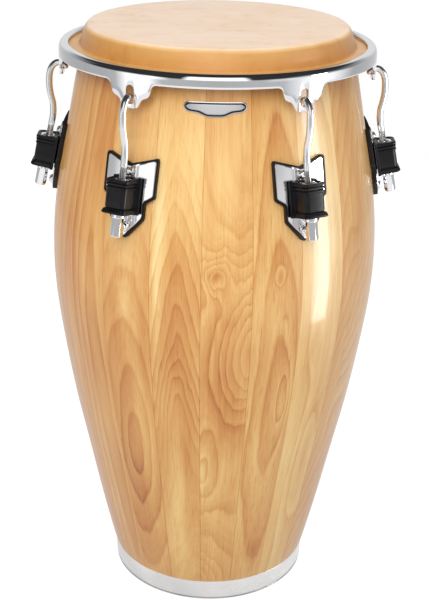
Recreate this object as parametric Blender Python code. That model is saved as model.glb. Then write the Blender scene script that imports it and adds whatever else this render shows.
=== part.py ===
"""Tumba, the low drum of the conga family, built the way the real one comes apart.

Twenty wooden staves stand in a steel base ring and carry a rawhide head on a flesh hoop.
A steel rim with six ears sits on the hoop. At each ear a tension hook runs down through a
receiver, which is bolted to the shell with its side plate, and a nut below draws it tight.

Metres, +Z up, the drum stands on z = 0 with its axis on Z. The front of the drum is -Y.
An azimuth is counted from the front towards +X.
"""
import math

import bmesh
import bpy
from mathutils import Euler, Matrix, Vector

MM = 0.001
GAP = 0.3 * MM  # left between pieces that touch

# Head, hoop and height
HEAD_TOP = 0.7286
HEAD_RADIUS = 0.15875  # a 12.5 inch head
SKIN_THICKNESS = 1.3 * MM
RING_SEGMENTS = 36
# Outside of the skin from its flat down the collar: out from the head's radius, up from its top
SKIN_EDGE = [
    (-9.8 * MM, 0.0), (-4.8 * MM, -1.4 * MM), (-1.6 * MM, -4.8 * MM), (0.3 * MM, -9.6 * MM),
    (3.0 * MM, -18.6 * MM), (5.7 * MM, -24.2 * MM), (8.8 * MM, -26.0 * MM),
]
# Where it goes over the flesh hoop and ends beside it, radius and height
SKIN_WRAP = [(0.1811, 0.7026), (0.1811, 0.6913), (0.1797, 0.6913), (0.1797, 0.7013)]
# Its inside, from the hoop back up to the flat, measured as its edge is
SKIN_LINING = [
    (8.0 * MM, -27.3 * MM), (4.5 * MM, -24.6 * MM), (1.6 * MM, -18.8 * MM),
    (-1.1 * MM, -9.9 * MM), (-2.7 * MM, -5.6 * MM), (-5.5 * MM, -2.6 * MM),
    (-10.1 * MM, -1.3 * MM),
]
FLESH_HOOP_SECTION = [
    (0.1686, 0.6922), (0.1792, 0.6922), (0.1792, 0.6990), (0.1778, 0.7008), (0.1690, 0.7002),
]
# Top of the staves under the skin, measured as the skin's edge is
BEARING_EDGE = [
    (-2.8 * MM, -8.1 * MM), (-4.9 * MM, -4.5 * MM), (-8.9 * MM, -2.3 * MM),
    (-11.2 * MM, -2.6 * MM),
]

# Outer radius of the wooden shell at a few heights, foot to bearing edge
SHELL_SECTIONS = [
    (0.0283, 0.1283), (0.0400, 0.1317), (0.1000, 0.1456), (0.1800, 0.1623), (0.2600, 0.1788),
    (0.3400, 0.1919), (0.4000, 0.1993), (0.4480, 0.2013), (0.5000, 0.1987),
    (0.5600, 0.1903), (0.6200, 0.1782), (0.6800, 0.1664), (0.7155, 0.1580),
]
WALL = 11.2 * MM
SHELL_LEVELS = 10
INSIDE_HEIGHTS = [0.685, 0.60, 0.555, 0.50, 0.38, 0.20]
INSIDE_FLARE = 1.6 * MM  # the wall is this much thinner at its foot

# Staves: the joints seen in front are where they are, the others share the rest evenly
STAVES = 20
SEEN_JOINTS_DEG = [-77.3, -57.5, -39.4, -21.3, -4.05, 12.8, 30.3, 48.5]
STAVE_FACETS = 2

# Base ring, a steel band with a turned-in foot
FOOT_RADIUS = 0.1267
BAND_TOP_RADIUS = 0.1282
BAND_HEIGHT = 28 * MM
BAND_THICKNESS = 1.5 * MM
FOOT_THICKNESS = 2.8 * MM
FOOT_WIDTH = 10 * MM

# Rim
RIM_RADIUS = 0.1886
RIM_STEEL = 4 * MM
RIM_LIP_RADIUS = 0.1775
RIM_TOP = 0.7072
RIM_BAND_BOTTOM = 0.6920
# One side of an ear: distance from its middle and the height of its lower edge
EAR_OUTLINE = [
    (31.5 * MM, 0.6920), (25.9 * MM, 0.6876), (23.0 * MM, 0.6788), (16.5 * MM, 0.6756),
    (12.4 * MM, 0.6712), (8.2 * MM, 0.6644),
]
SLOT_WIDTH = 10.5 * MM
SLOT_BOTTOM = 0.6686
SLOT_TOP = 0.6896
SLOT_END_STEPS = 6
STEPS_BETWEEN_EARS = 4

# Tension lugs, six around the drum
LUG_AZIMUTHS_DEG = [30 + 60 * k for k in range(6)]
ROD_RADIUS = 4 * MM
ROD_TILT_DEG = 12.0
ROD_ORIGIN_RADIUS = 0.2092  # where the rod's axis crosses ROD_ORIGIN_HEIGHT
ROD_ORIGIN_HEIGHT = 0.5650
ROD_BOTTOM = -40.5 * MM
# The hook's bends above its straight rod: outward from the rod's axis, and up along it
HOOK_BENDS = [
    (0.0 * MM, 30 * MM), (0.2 * MM, 52 * MM), (4.9 * MM, 68 * MM), (10.4 * MM, 83 * MM),
    (12.9 * MM, 97 * MM), (10.9 * MM, 108.5 * MM), (5.2 * MM, 113.4 * MM), (-4.6 * MM, 110.2 * MM),
]
HOOK_STEPS = 2

# Side plate and its gasket: half the outline, distance from the middle and height
GASKET_TOP = [(0.0, 0.6003), (30.6 * MM, 0.6094), (33.0 * MM, 0.6062)]
GASKET_BOTTOM = [
    (0.0, 0.5185), (21.5 * MM, 0.5405), (21.8 * MM, 0.5590), (33.0 * MM, 0.5664),
]
GASKET_BORDER = 2.3 * MM
GASKET_BACK = 0.6 * MM
GASKET_FLOOR = 3.1 * MM
GASKET_RIM = 5.8 * MM
PLATE_BACK = 3.4 * MM
PLATE_FRONT = 5.4 * MM
CHANNEL_FRONT = 7.0 * MM
CHANNEL_HALF_WIDTH = 11 * MM
CHANNEL_CREST_HALF_WIDTH = 9 * MM

# Bolts through plate, gasket and stave into a backing strip inside the shell
BOLT_HEIGHTS = [0.5307, 0.5920]
BOLT_RADIUS = 2.9 * MM
BOLT_HOLE_RADIUS = 3.4 * MM
BOLT_SIDES = 8
# Radius and standoff from the shell, from the threaded end to the top of the head
BOLT_PROFILE = [
    (BOLT_RADIUS, -17.8 * MM), (BOLT_RADIUS, 7.4 * MM), (5.1 * MM, 7.4 * MM),
    (4.9 * MM, 9.2 * MM), (2.9 * MM, 11.2 * MM),
]
STRIP_HALF_WIDTH = 9 * MM
STRIP_HEIGHTS = [0.5200, 0.5615, 0.6030]
STRIP_FRONT = -12.6 * MM
STRIP_BACK = -15.6 * MM

# Receiver, a ribbed block that the rod passes through, with a wider flange on the plate
RECEIVER_HALF_WIDTH = 14.0 * MM
RECEIVER_FRONT = 12.8 * MM
RECEIVER_CORNER = 3.2 * MM
RECEIVER_BACK = -11.3 * MM
FLANGE_HALF_WIDTH = 18.4 * MM
FLANGE_THICKNESS = 1.7 * MM
RECEIVER_BORE = 4.8 * MM
# Height along the rod and how far the section stands out there
RECEIVER_LEVELS = [
    (-15.0 * MM, 2.4 * MM), (-9.6 * MM, 1.1 * MM), (-9.0 * MM, -0.7 * MM),
    (-7.2 * MM, 0.0), (15.6 * MM, 0.0), (16.4 * MM, 0.9 * MM), (18.4 * MM, 0.9 * MM),
    (19.2 * MM, -0.5 * MM), (20.0 * MM, 0.9 * MM), (22.8 * MM, 0.7 * MM),
]
RECEIVER_TOP_RISE = 2.6 * MM  # its top is this much higher at its back
RECEIVER_RECESS = 1.6 * MM
RECEIVER_WALL = 3 * MM

# Tuning nut: a collar on a long hexagon
NUT_TOP = -16.0 * MM
NUT_COLLAR_RADIUS = 7.7 * MM
NUT_POINTS = 12  # a corner and the middle of a flat by turns
NUT_COLLAR_BOTTOM = -19.8 * MM
NUT_ACROSS_FLATS = 11.4 * MM
NUT_BOTTOM = -41.2 * MM
NUT_BORE = 4.5 * MM


def clear_scene():
    for item in list(bpy.data.objects):
        bpy.data.objects.remove(item, do_unlink=True)


def make_material(name, colour, roughness, metallic):
    material = bpy.data.materials.new(name)
    material.use_nodes = True
    shader = material.node_tree.nodes["Principled BSDF"]
    shader.inputs["Base Color"].default_value = (*colour, 1.0)
    shader.inputs["Roughness"].default_value = roughness
    shader.inputs["Metallic"].default_value = metallic
    return material


def place(name, data, material, parent=None):
    """Put a mesh or curve into the scene as one named object."""
    item = bpy.data.objects.new(name, data)
    bpy.context.scene.collection.objects.link(item)
    if material and not data.materials:
        data.materials.append(material)
    item.parent = parent
    return item


def place_empty(name, location, rotation, parent=None):
    empty = bpy.data.objects.new(name, None)
    empty.location = location
    empty.rotation_euler = rotation
    empty.parent = parent
    bpy.context.scene.collection.objects.link(empty)
    return empty


def loft(name, loops, closed=False, smooth_deg=35):
    """Join a row of equal point loops with quads, closed into a ring or capped at its ends."""
    bm = bmesh.new()
    rows = [[bm.verts.new(point) for point in loop] for loop in loops]
    count = len(rows[0])
    pairs = list(zip(rows, rows[1:]))
    if closed:
        pairs.append((rows[-1], rows[0]))
    for row, following in pairs:
        for k in range(count):
            nxt = (k + 1) % count
            bm.faces.new((row[k], row[nxt], following[nxt], following[k]))
    if not closed:
        bm.faces.new(rows[0])
        bm.faces.new(list(reversed(rows[-1])))
    bmesh.ops.remove_doubles(bm, verts=bm.verts, dist=0.001 * MM)
    bmesh.ops.recalc_face_normals(bm, faces=bm.faces)
    mesh = bpy.data.meshes.new(name)
    bm.to_mesh(mesh)
    bm.free()
    mesh.shade_smooth()
    mesh.set_sharp_from_angle(angle=math.radians(smooth_deg))
    return mesh


def turned(name, profile, segments=RING_SEGMENTS, closed=True):
    """Turn a profile of (radius, height) points about Z.

    A closed profile is a ring's section. An open one runs from axis to axis.
    """
    bm = bmesh.new()
    verts = [bm.verts.new((0.0, -radius, height)) for radius, height in profile]
    ends = list(zip(verts, verts[1:]))
    if closed:
        ends.append((verts[-1], verts[0]))
    edges = [bm.edges.new(pair) for pair in ends]
    bmesh.ops.spin(
        bm, geom=verts + edges, cent=(0, 0, 0), axis=(0, 0, 1),
        angle=2 * math.pi, steps=segments, use_merge=True,
    )
    bmesh.ops.remove_doubles(bm, verts=bm.verts, dist=0.001 * MM)
    bmesh.ops.recalc_face_normals(bm, faces=bm.faces)
    mesh = bpy.data.meshes.new(name)
    bm.to_mesh(mesh)
    bm.free()
    mesh.shade_smooth()
    mesh.set_sharp_from_angle(angle=math.radians(35))
    return mesh


def around(azimuth, radius, height):
    """The point at an azimuth in radians, a radius and a height."""
    return Vector((radius * math.sin(azimuth), -radius * math.cos(azimuth), height))


def interpolate(points, x):
    """Straight interpolation in a list of (x, y) points."""
    for (x0, y0), (x1, y1) in zip(points, points[1:]):
        if x <= x1:
            return y0 + (y1 - y0) * (x - x0) / (x1 - x0)
    return points[-1][1]


def shell_radius(height):
    """Outer radius of the shell: a smooth curve through its sections."""
    points = SHELL_SECTIONS
    last = len(points) - 2
    k = next((i for i in range(last) if height < points[i + 1][0]), last)
    before, after = points[max(k - 1, 0)], points[min(k + 2, len(points) - 1)]
    (z0, r0), (z1, r1) = points[k], points[k + 1]
    step = z1 - z0
    slope0 = (r1 - before[1]) / (z1 - before[0])
    slope1 = (after[1] - r0) / (after[0] - z0)
    t = (height - z0) / step
    return (
        (2 * t**3 - 3 * t**2 + 1) * r0 + (t**3 - 2 * t**2 + t) * step * slope0
        + (3 * t**2 - 2 * t**3) * r1 + (t**3 - t**2) * step * slope1
    )


def on_shell(across, height, standoff):
    """A point over the shell in front: across it, at a height, and out along its normal."""
    radius = shell_radius(height)
    slope = (shell_radius(height + MM) - shell_radius(height - MM)) / (2 * MM)
    length = math.hypot(1.0, slope)
    return around(across / radius, radius + standoff / length, height - standoff * slope / length)


def stave_joints():
    """Azimuths of the joints between staves, in radians, one more than there are staves."""
    first, last = SEEN_JOINTS_DEG[0], SEEN_JOINTS_DEG[-1]
    hidden = STAVES - len(SEEN_JOINTS_DEG) + 1
    width = (360 - (last - first)) / hidden
    rest = [last + width * (k + 1) for k in range(hidden)]
    return [math.radians(a) for a in SEEN_JOINTS_DEG + rest]


def from_head(points):
    """Radius and height of points measured from the head's radius and its top."""
    return [(HEAD_RADIUS + out, HEAD_TOP + up) for out, up in points]


def stave_profile():
    """Section of the shell's wall: outside from foot to bearing edge, then down the inside."""
    foot, top = SHELL_SECTIONS[0][0], SHELL_SECTIONS[-1][0]
    rebate = BAND_THICKNESS + 2 * GAP
    bottom = FOOT_THICKNESS + GAP
    outside = [(FOOT_RADIUS - rebate, bottom), (BAND_TOP_RADIUS - rebate, foot - GAP)]
    for k in range(SHELL_LEVELS):
        height = foot + (top - foot) * k / (SHELL_LEVELS - 1)
        outside.append((shell_radius(height), height))
    inside = [(shell_radius(height) - WALL, height) for height in INSIDE_HEIGHTS]
    inside.append((FOOT_RADIUS - rebate - WALL + INSIDE_FLARE, bottom))
    return outside + from_head(BEARING_EDGE) + inside


def make_stave(number, start, end, profile, material):
    """One stave: the wall's section carried from joint to joint, with half a gap at each."""
    loops = []
    for k in range(STAVE_FACETS + 1):
        azimuth = start + (end - start) * k / STAVE_FACETS
        trim = {0: GAP / 2, STAVE_FACETS: -GAP / 2}.get(k, 0.0)
        shift = Vector((math.cos(azimuth), math.sin(azimuth), 0)) * trim
        loops.append([around(azimuth, radius, height) + shift for radius, height in profile])
    return place(f"stave_{number:02d}", loft("stave", loops), material)


def make_base_ring(material):
    profile = [
        (FOOT_RADIUS - BAND_THICKNESS - FOOT_WIDTH, 0.0),
        (FOOT_RADIUS - 1.2 * MM, 0.0),
        (FOOT_RADIUS, 1.4 * MM),
        (BAND_TOP_RADIUS, BAND_HEIGHT),
        (BAND_TOP_RADIUS - BAND_THICKNESS, BAND_HEIGHT),
        (FOOT_RADIUS - BAND_THICKNESS, FOOT_THICKNESS),
        (FOOT_RADIUS - BAND_THICKNESS - FOOT_WIDTH, FOOT_THICKNESS),
    ]
    return place("base_ring", turned("base_ring", profile), material)


def make_skin(material):
    """The head: flat top, rounded edge, collar down the shell and a wrap over the flesh hoop."""
    outside = [(0.0, HEAD_TOP)] + from_head(SKIN_EDGE) + SKIN_WRAP
    inside = from_head(SKIN_LINING) + [(0.0, HEAD_TOP - SKIN_THICKNESS)]
    return place("skin_head", turned("skin_head", outside + inside, closed=False), material)


def make_flesh_hoop(material):
    return place("flesh_hoop", turned("flesh_hoop", FLESH_HOOP_SECTION), material)


def rim_columns():
    """Azimuth of every column of the rim, with the height of its lower edge."""
    half_ear = EAR_OUTLINE[0][0] / RIM_RADIUS
    pitch = math.radians(LUG_AZIMUTHS_DEG[1] - LUG_AZIMUTHS_DEG[0])
    columns = []
    for lug in LUG_AZIMUTHS_DEG:
        middle = math.radians(lug)
        for side, outline in ((-1, EAR_OUTLINE), (1, EAR_OUTLINE[::-1])):
            columns += [(middle + side * across / RIM_RADIUS, low) for across, low in outline]
        plain = pitch - 2 * half_ear
        for k in range(1, STEPS_BETWEEN_EARS):
            columns.append((middle + half_ear + plain * k / STEPS_BETWEEN_EARS, RIM_BAND_BOTTOM))
    return columns


def make_rim(material):
    """Steel band with a turned-in shoulder, six ears and a slot through each ear."""
    inner = RIM_RADIUS - RIM_STEEL
    loops = []
    for azimuth, low in rim_columns():
        section = [
            (RIM_RADIUS, low), (RIM_RADIUS, RIM_TOP - 8.0 * MM),
            (RIM_RADIUS - 2.2 * MM, RIM_TOP - 2.0 * MM), (RIM_RADIUS - 6.6 * MM, RIM_TOP),
            (RIM_LIP_RADIUS, RIM_TOP - 0.4 * MM), (RIM_LIP_RADIUS + 0.3 * MM, RIM_TOP - 4.0 * MM),
            (inner - 2.4 * MM, RIM_TOP - 4.1 * MM), (inner, RIM_TOP - 8.0 * MM), (inner, low),
        ]
        loops.append([around(azimuth, radius, height) for radius, height in section])
    rim = place("rim", loft("rim", loops, closed=True), material)
    for number, lug in enumerate(LUG_AZIMUTHS_DEG, 1):
        cut = rim.modifiers.new(f"slot_{number}", "BOOLEAN")
        cut.object = make_slot_cutter(number, math.radians(lug))
        cut.operation = "DIFFERENCE"
        cut.solver = "EXACT"
    return rim


def make_slot_cutter(number, azimuth):
    """A round-ended bar through an ear."""
    half = SLOT_WIDTH / 2
    outline = []
    for centre, first in ((SLOT_TOP - half, 0.0), (SLOT_BOTTOM + half, math.pi)):
        for k in range(SLOT_END_STEPS + 1):
            angle = first + math.pi * k / SLOT_END_STEPS
            outline.append((half * math.cos(angle), centre + half * math.sin(angle)))
    loops = [
        [Vector((x, -radius, z)) for x, z in outline]
        for radius in (RIM_RADIUS - 3 * RIM_STEEL, RIM_RADIUS + 2 * RIM_STEEL)
    ]
    cutter = place(f"slot_cutter_{number}", loft("slot_cutter", loops), None)
    cutter.rotation_euler = Euler((0, 0, azimuth))
    return as_guide(cutter)


def as_guide(item):
    item.hide_render = True
    item.display_type = "WIRE"
    return item


def bolt_mesh(profile, height):
    """A turned bolt whose axis is the shell's normal at a height, in front of the drum."""
    base = on_shell(0.0, height, 0.0)
    out = (on_shell(0.0, height, 1.0) - base).normalized()
    side = Vector((1, 0, 0))
    up = out.cross(side)
    loops = []
    for radius, standoff in profile:
        ring = [2 * math.pi * (k + 0.5) / BOLT_SIDES for k in range(BOLT_SIDES)]
        loops.append([
            base + out * standoff + (side * math.cos(a) + up * math.sin(a)) * radius for a in ring
        ])
    return loft("bolt", loops)


def drill_profile():
    return [(BOLT_HOLE_RADIUS, -22 * MM), (BOLT_HOLE_RADIUS, 16 * MM)]


def boolean_with(item, other, operation):
    modifier = item.modifiers.new(other.name, "BOOLEAN")
    modifier.object = other
    modifier.operation = operation
    modifier.solver = "EXACT"


def finished_mesh(item):
    """The mesh of an object with its modifiers in it, for pieces that are made once."""
    graph = bpy.context.evaluated_depsgraph_get()
    return bpy.data.meshes.new_from_object(item.evaluated_get(graph))


def half_outline(points):
    """Both halves of a symmetric outline, left to right."""
    return [(-x, y) for x, y in points[:0:-1]] + points


def curved_plate(name, top, bottom, breaks, rows, back, front):
    """A plate bent to the shell. Its columns stand at the breaks, and front is a function."""
    top, bottom = half_outline(top), half_outline(bottom)
    loops = []
    for across in sorted({-x for x in breaks} | set(breaks)):
        low, high = interpolate(bottom, across), interpolate(top, across)
        heights = [low + (high - low) * k / rows for k in range(rows + 1)]
        loops.append(
            [on_shell(across, h, back) for h in heights]
            + [on_shell(across, h, front(across)) for h in reversed(heights)]
        )
    return loft(name, loops)


def flat_front(standoff):
    return lambda across: standoff


def gasket_mesh():
    """Rubber tray that the side plate lies in, before its pocket and bolt holes are cut."""
    breaks = {x for x, _ in GASKET_TOP + GASKET_BOTTOM} | {CHANNEL_HALF_WIDTH}
    return curved_plate(
        "gasket", GASKET_TOP, GASKET_BOTTOM, breaks, 2, GASKET_BACK, flat_front(GASKET_RIM))


def plate_outline(border):
    """Upper and lower edge of the gasket's outline drawn in by a border."""
    top = [(max(x - border, 0.0), z - 1.05 * border) for x, z in GASKET_TOP]
    bottom = [(max(x - border, 0.0), z + 1.15 * border) for x, z in GASKET_BOTTOM]
    return top, bottom


def pocket_mesh():
    top, bottom = plate_outline(GASKET_BORDER - GAP)
    breaks = {x for x, _ in top + bottom}
    return curved_plate("pocket", top, bottom, breaks, 2, GASKET_FLOOR, flat_front(9 * MM))


def plate_mesh():
    """Side plate with a raised channel down its middle."""
    top, bottom = plate_outline(GASKET_BORDER)
    relief = [
        (0.0, CHANNEL_FRONT), (CHANNEL_CREST_HALF_WIDTH, CHANNEL_FRONT),
        (CHANNEL_HALF_WIDTH, PLATE_FRONT), (40 * MM, PLATE_FRONT),
    ]
    breaks = {x for x, _ in top + bottom} | {CHANNEL_CREST_HALF_WIDTH, CHANNEL_HALF_WIDTH}
    return curved_plate(
        "side_plate", top, bottom, breaks, 2, PLATE_BACK,
        lambda across: interpolate(relief, abs(across)))


def strip_mesh():
    """Backing strip that lies on the inside of the shell behind the plate."""
    low, high = STRIP_HEIGHTS[0], STRIP_HEIGHTS[-1]
    return curved_plate(
        "strip", [(0.0, high), (STRIP_HALF_WIDTH, high)], [(0.0, low), (STRIP_HALF_WIDTH, low)],
        {STRIP_HALF_WIDTH}, 2, STRIP_BACK, flat_front(STRIP_FRONT))


def receiver_section(height, grow):
    """One level of the receiver, seen from above: from the flange round the front and back."""
    half = RECEIVER_HALF_WIDTH + grow
    front = RECEIVER_FRONT + grow
    flange_front = RECEIVER_BACK + FLANGE_THICKNESS
    corner_cut = 0.3 * RECEIVER_CORNER  # how far a round corner's middle lies from its tip
    right = [
        (FLANGE_HALF_WIDTH, RECEIVER_BACK), (FLANGE_HALF_WIDTH, flange_front),
        (half, flange_front + GAP), (half, front - RECEIVER_CORNER),
        (half - corner_cut, front - corner_cut), (half - RECEIVER_CORNER, front),
    ]
    outline = right + [(-x, y) for x, y in reversed(right)]
    return [Vector((x, -y, height)) for x, y in outline]


def bore_loop(height):
    """The bore's edge at a height, with as many points as receiver_section gives."""
    count = len(receiver_section(height, 0.0))
    turns = [2 * math.pi * (k + 0.5) / count - math.pi / 2 for k in range(count)]
    return [
        Vector((RECEIVER_BORE * math.cos(turn), -RECEIVER_BORE * math.sin(turn), height))
        for turn in turns
    ]


def recess_loop(height):
    """The edge of the sunken top: the section drawn in by the wall, and clear of the flange."""
    loop = receiver_section(height, -RECEIVER_WALL)
    reach = RECEIVER_HALF_WIDTH - RECEIVER_WALL
    back = -(RECEIVER_BACK + FLANGE_THICKNESS + RECEIVER_WALL)
    for point in loop:
        point.x = max(-reach, min(reach, point.x))
        point.y = min(point.y, back)
    return loop


def raise_back(loop):
    """Lift a level's points towards the plate."""
    for point in loop:
        from_front = (RECEIVER_FRONT + point.y) / (RECEIVER_FRONT - RECEIVER_BACK)
        point.z += RECEIVER_TOP_RISE * max(0.0, from_front)


def receiver_mesh():
    """Ribbed block with a flared foot, a sunken top and a bore for the rod."""
    loops = [receiver_section(height, grow) for height, grow in RECEIVER_LEVELS]
    bottom, top = RECEIVER_LEVELS[0][0], RECEIVER_LEVELS[-1][0]
    floor = top - RECEIVER_RECESS
    recess = [recess_loop(top), recess_loop(floor)]
    for loop in [loops[-1]] + recess:
        raise_back(loop)
    bore = [bore_loop(floor), bore_loop(bottom)]
    return loft("receiver", loops + recess + bore, closed=True)


def smooth_path(points, steps):
    """A smooth curve through points, with a few steps from each to the next."""
    path = []
    for k in range(len(points) - 1):
        a, b = points[max(k - 1, 0)], points[k]
        c, d = points[k + 1], points[min(k + 2, len(points) - 1)]
        for j in range(steps):
            t = j / steps
            path.append(
                b + (c - a) * (t / 2) + (a * 2 - b * 5 + c * 4 - d) * (t * t / 2)
                + (b * 3 - a - c * 3 + d) * (t ** 3 / 2)
            )
    return path + [points[-1]]


def hook_curve():
    """Round bar: straight through the receiver, out and over, and down into the ear's slot."""
    bends = [Vector((0.0, -outward, up)) for outward, up in HOOK_BENDS]
    path = [Vector((0.0, 0.0, ROD_BOTTOM))] + smooth_path(bends, HOOK_STEPS)
    curve = bpy.data.curves.new("tension_hook", "CURVE")
    curve.dimensions = "3D"
    curve.bevel_depth = ROD_RADIUS
    curve.bevel_resolution = 2
    curve.use_fill_caps = True
    spline = curve.splines.new("POLY")
    spline.points.add(len(path) - 1)
    for point, place_ in zip(spline.points, path):
        point.co = (*place_, 1.0)
        point.radius = 1.0
    spline.points[-1].radius = 0.8
    spline.use_smooth = True
    return curve


def nut_mesh():
    """Long hexagonal nut with a round collar under the receiver."""
    apothem = NUT_ACROSS_FLATS / 2
    corner = apothem / math.cos(math.pi / 6)

    def ring(height, flat, point):
        return [
            Vector((radius * math.cos(angle), radius * math.sin(angle), height))
            for k in range(NUT_POINTS)
            for angle, radius in [(2 * math.pi * k / NUT_POINTS, point if k % 2 else flat)]
        ]

    loops = [
        ring(NUT_TOP, NUT_BORE, NUT_BORE),
        ring(NUT_TOP, NUT_COLLAR_RADIUS, NUT_COLLAR_RADIUS),
        ring(NUT_COLLAR_BOTTOM, NUT_COLLAR_RADIUS, NUT_COLLAR_RADIUS),
        ring(NUT_COLLAR_BOTTOM, apothem, corner),
        ring(NUT_BOTTOM, apothem, corner),
        ring(NUT_BOTTOM, NUT_BORE, NUT_BORE),
    ]
    return loft("tuning_nut", loops, closed=True, smooth_deg=25)


def make_shell(wood):
    joints = stave_joints()
    profile = stave_profile()
    return [
        make_stave(number, start, end, profile, wood)
        for number, (start, end) in enumerate(zip(joints, joints[1:]), 1)
    ]


def lug_meshes(rubber, chrome, steel):
    """The fixed pieces of one lug, made once in front of the drum with their bolt holes."""
    drills = [
        as_guide(place(f"drill_{k}", bolt_mesh(drill_profile(), height), None))
        for k, height in enumerate(BOLT_HEIGHTS)
    ]
    bolts = [
        as_guide(place(f"bolt_{k}", bolt_mesh(BOLT_PROFILE, height), steel))
        for k, height in enumerate(BOLT_HEIGHTS)
    ]
    gasket = as_guide(place("gasket_master", gasket_mesh(), rubber))
    plate = as_guide(place("side_plate_master", plate_mesh(), chrome))
    strip = as_guide(place("mounting_bolts_master", strip_mesh(), steel))
    pocket = as_guide(place("pocket", pocket_mesh(), rubber))
    boolean_with(gasket, pocket, "DIFFERENCE")
    for piece in (gasket, plate):
        for drill in drills:
            boolean_with(piece, drill, "DIFFERENCE")
    for bolt in bolts:
        boolean_with(strip, bolt, "UNION")
    return {
        "gasket": finished_mesh(gasket),
        "side_plate": finished_mesh(plate),
        "mounting_bolts": finished_mesh(strip),
    }, drills


def drill_staves(staves, joints, drills, number, azimuth):
    """Carry the drills to a lug and cut its bolt holes in the staves behind it."""
    reach = 2 * BOLT_HOLE_RADIUS / shell_radius(BOLT_HEIGHTS[0])
    for drill in drills:
        cutter = place(f"{drill.name}_lug_{number}", drill.data, None)
        cutter.rotation_euler = Euler((0, 0, azimuth))
        as_guide(cutter)
        for stave, start, end in zip(staves, joints, joints[1:]):
            turn = (azimuth - start) % (2 * math.pi)
            if turn < (end - start) + reach or turn > 2 * math.pi - reach:
                boolean_with(stave, cutter, "DIFFERENCE")


def build():
    clear_scene()
    wood = make_material("wood", (0.80, 0.52, 0.24), 0.28, 0.0)
    chrome = make_material("chrome", (0.82, 0.82, 0.84), 0.12, 1.0)
    satin = make_material("satin_steel", (0.72, 0.72, 0.71), 0.35, 1.0)
    steel = make_material("steel", (0.66, 0.66, 0.67), 0.3, 1.0)
    rubber = make_material("rubber", (0.02, 0.02, 0.022), 0.55, 0.0)
    hide = make_material("rawhide", (0.86, 0.72, 0.50), 0.5, 0.0)

    staves = make_shell(wood)
    make_base_ring(satin)
    make_skin(hide)
    make_flesh_hoop(steel)
    make_rim(chrome)

    shared, drills = lug_meshes(rubber, chrome, steel)
    shared_receiver = receiver_mesh()
    shared_hook = hook_curve()
    shared_nut = nut_mesh()
    joints = stave_joints()
    for number, azimuth_deg in enumerate(LUG_AZIMUTHS_DEG, 1):
        azimuth = math.radians(azimuth_deg)
        lug = place_empty(f"lug_{number}", (0, 0, 0), Euler((0, 0, azimuth)))
        rod_axis = place_empty(
            f"rod_axis_{number}", (0, -ROD_ORIGIN_RADIUS, ROD_ORIGIN_HEIGHT),
            Euler((-math.radians(ROD_TILT_DEG), 0, 0)), lug)
        for name, mesh in shared.items():
            place(f"{name}_{number}", mesh, None, lug)
        place(f"receiver_{number}", shared_receiver, rubber, rod_axis)
        place(f"tension_hook_{number}", shared_hook, chrome, rod_axis)
        place(f"tuning_nut_{number}", shared_nut, chrome, rod_axis)
        drill_staves(staves, joints, drills, number, azimuth)


build()
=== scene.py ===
"""A tumba on a white studio floor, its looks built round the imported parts.

Metres, +Z up. The drum's axis is Z and its front is -Y. An azimuth is counted from the front
towards +X. A lug's pieces are made in front of the drum and turned to the lug's azimuth, and the
pieces on a rod are made in the rod's own frame: X across, -Y outward, Z up along the rod.
"""
import math

import bmesh
import bpy
from mathutils import Matrix, Vector

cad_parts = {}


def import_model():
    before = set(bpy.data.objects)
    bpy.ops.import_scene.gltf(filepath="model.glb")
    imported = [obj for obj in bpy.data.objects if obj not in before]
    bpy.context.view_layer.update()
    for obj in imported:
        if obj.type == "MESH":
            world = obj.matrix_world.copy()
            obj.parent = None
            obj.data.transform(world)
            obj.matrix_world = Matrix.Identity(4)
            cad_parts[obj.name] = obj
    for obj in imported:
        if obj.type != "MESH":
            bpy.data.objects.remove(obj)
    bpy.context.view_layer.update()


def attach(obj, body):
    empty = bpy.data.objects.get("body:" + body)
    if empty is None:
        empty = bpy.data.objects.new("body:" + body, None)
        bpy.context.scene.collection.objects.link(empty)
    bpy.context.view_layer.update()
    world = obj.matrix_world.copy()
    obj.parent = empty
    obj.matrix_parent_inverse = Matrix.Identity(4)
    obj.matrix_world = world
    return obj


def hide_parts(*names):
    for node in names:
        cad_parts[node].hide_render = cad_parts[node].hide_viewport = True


MM = 0.001


def in_metres(points):
    """Pairs that are written in millimetres."""
    return [(x * MM, y * MM) for x, y in points]


IMAGE = (429, 600)
TURNED_STEPS = 180

# Head and rim
HEAD_TOP = 0.7286
SKIN_FLAT_RADIUS = 0.149
SKIN_EDGE = [
    (0.149, 0.7286), (0.1518, 0.7282), (0.154, 0.7272), (0.1572, 0.7238), (0.159, 0.719),
    (0.1604, 0.7146), (0.1618, 0.71), (0.1645, 0.7044), (0.1675, 0.7027),
]
SKIN_LEDGE = [
    (0.172, 0.7026), (0.1802, 0.7026), (0.1809, 0.7023), (0.1811, 0.7016), (0.1811, 0.6916),
    (0.1808, 0.6912), (0.18, 0.6912), (0.1797, 0.6916), (0.1797, 0.7008),
]
SKIN_LINING = [
    (0.16675, 0.7013), (0.16325, 0.704), (0.16035, 0.7098), (0.15765, 0.7187), (0.15605, 0.723),
    (0.15325, 0.726), (0.14865, 0.7273),
]
HOOP_SECTION = [
    (0.1686, 0.6925), (0.1689, 0.6922), (0.1789, 0.6922), (0.1792, 0.6925), (0.1792, 0.6988),
    (0.1789, 0.6999), (0.1778, 0.7007), (0.1702, 0.7007), (0.169, 0.6999), (0.1686, 0.6988),
]
RIM_RADIUS = 0.1886
RIM_INNER = 0.1846
RIM_BAND_BOTTOM = 0.692
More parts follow.
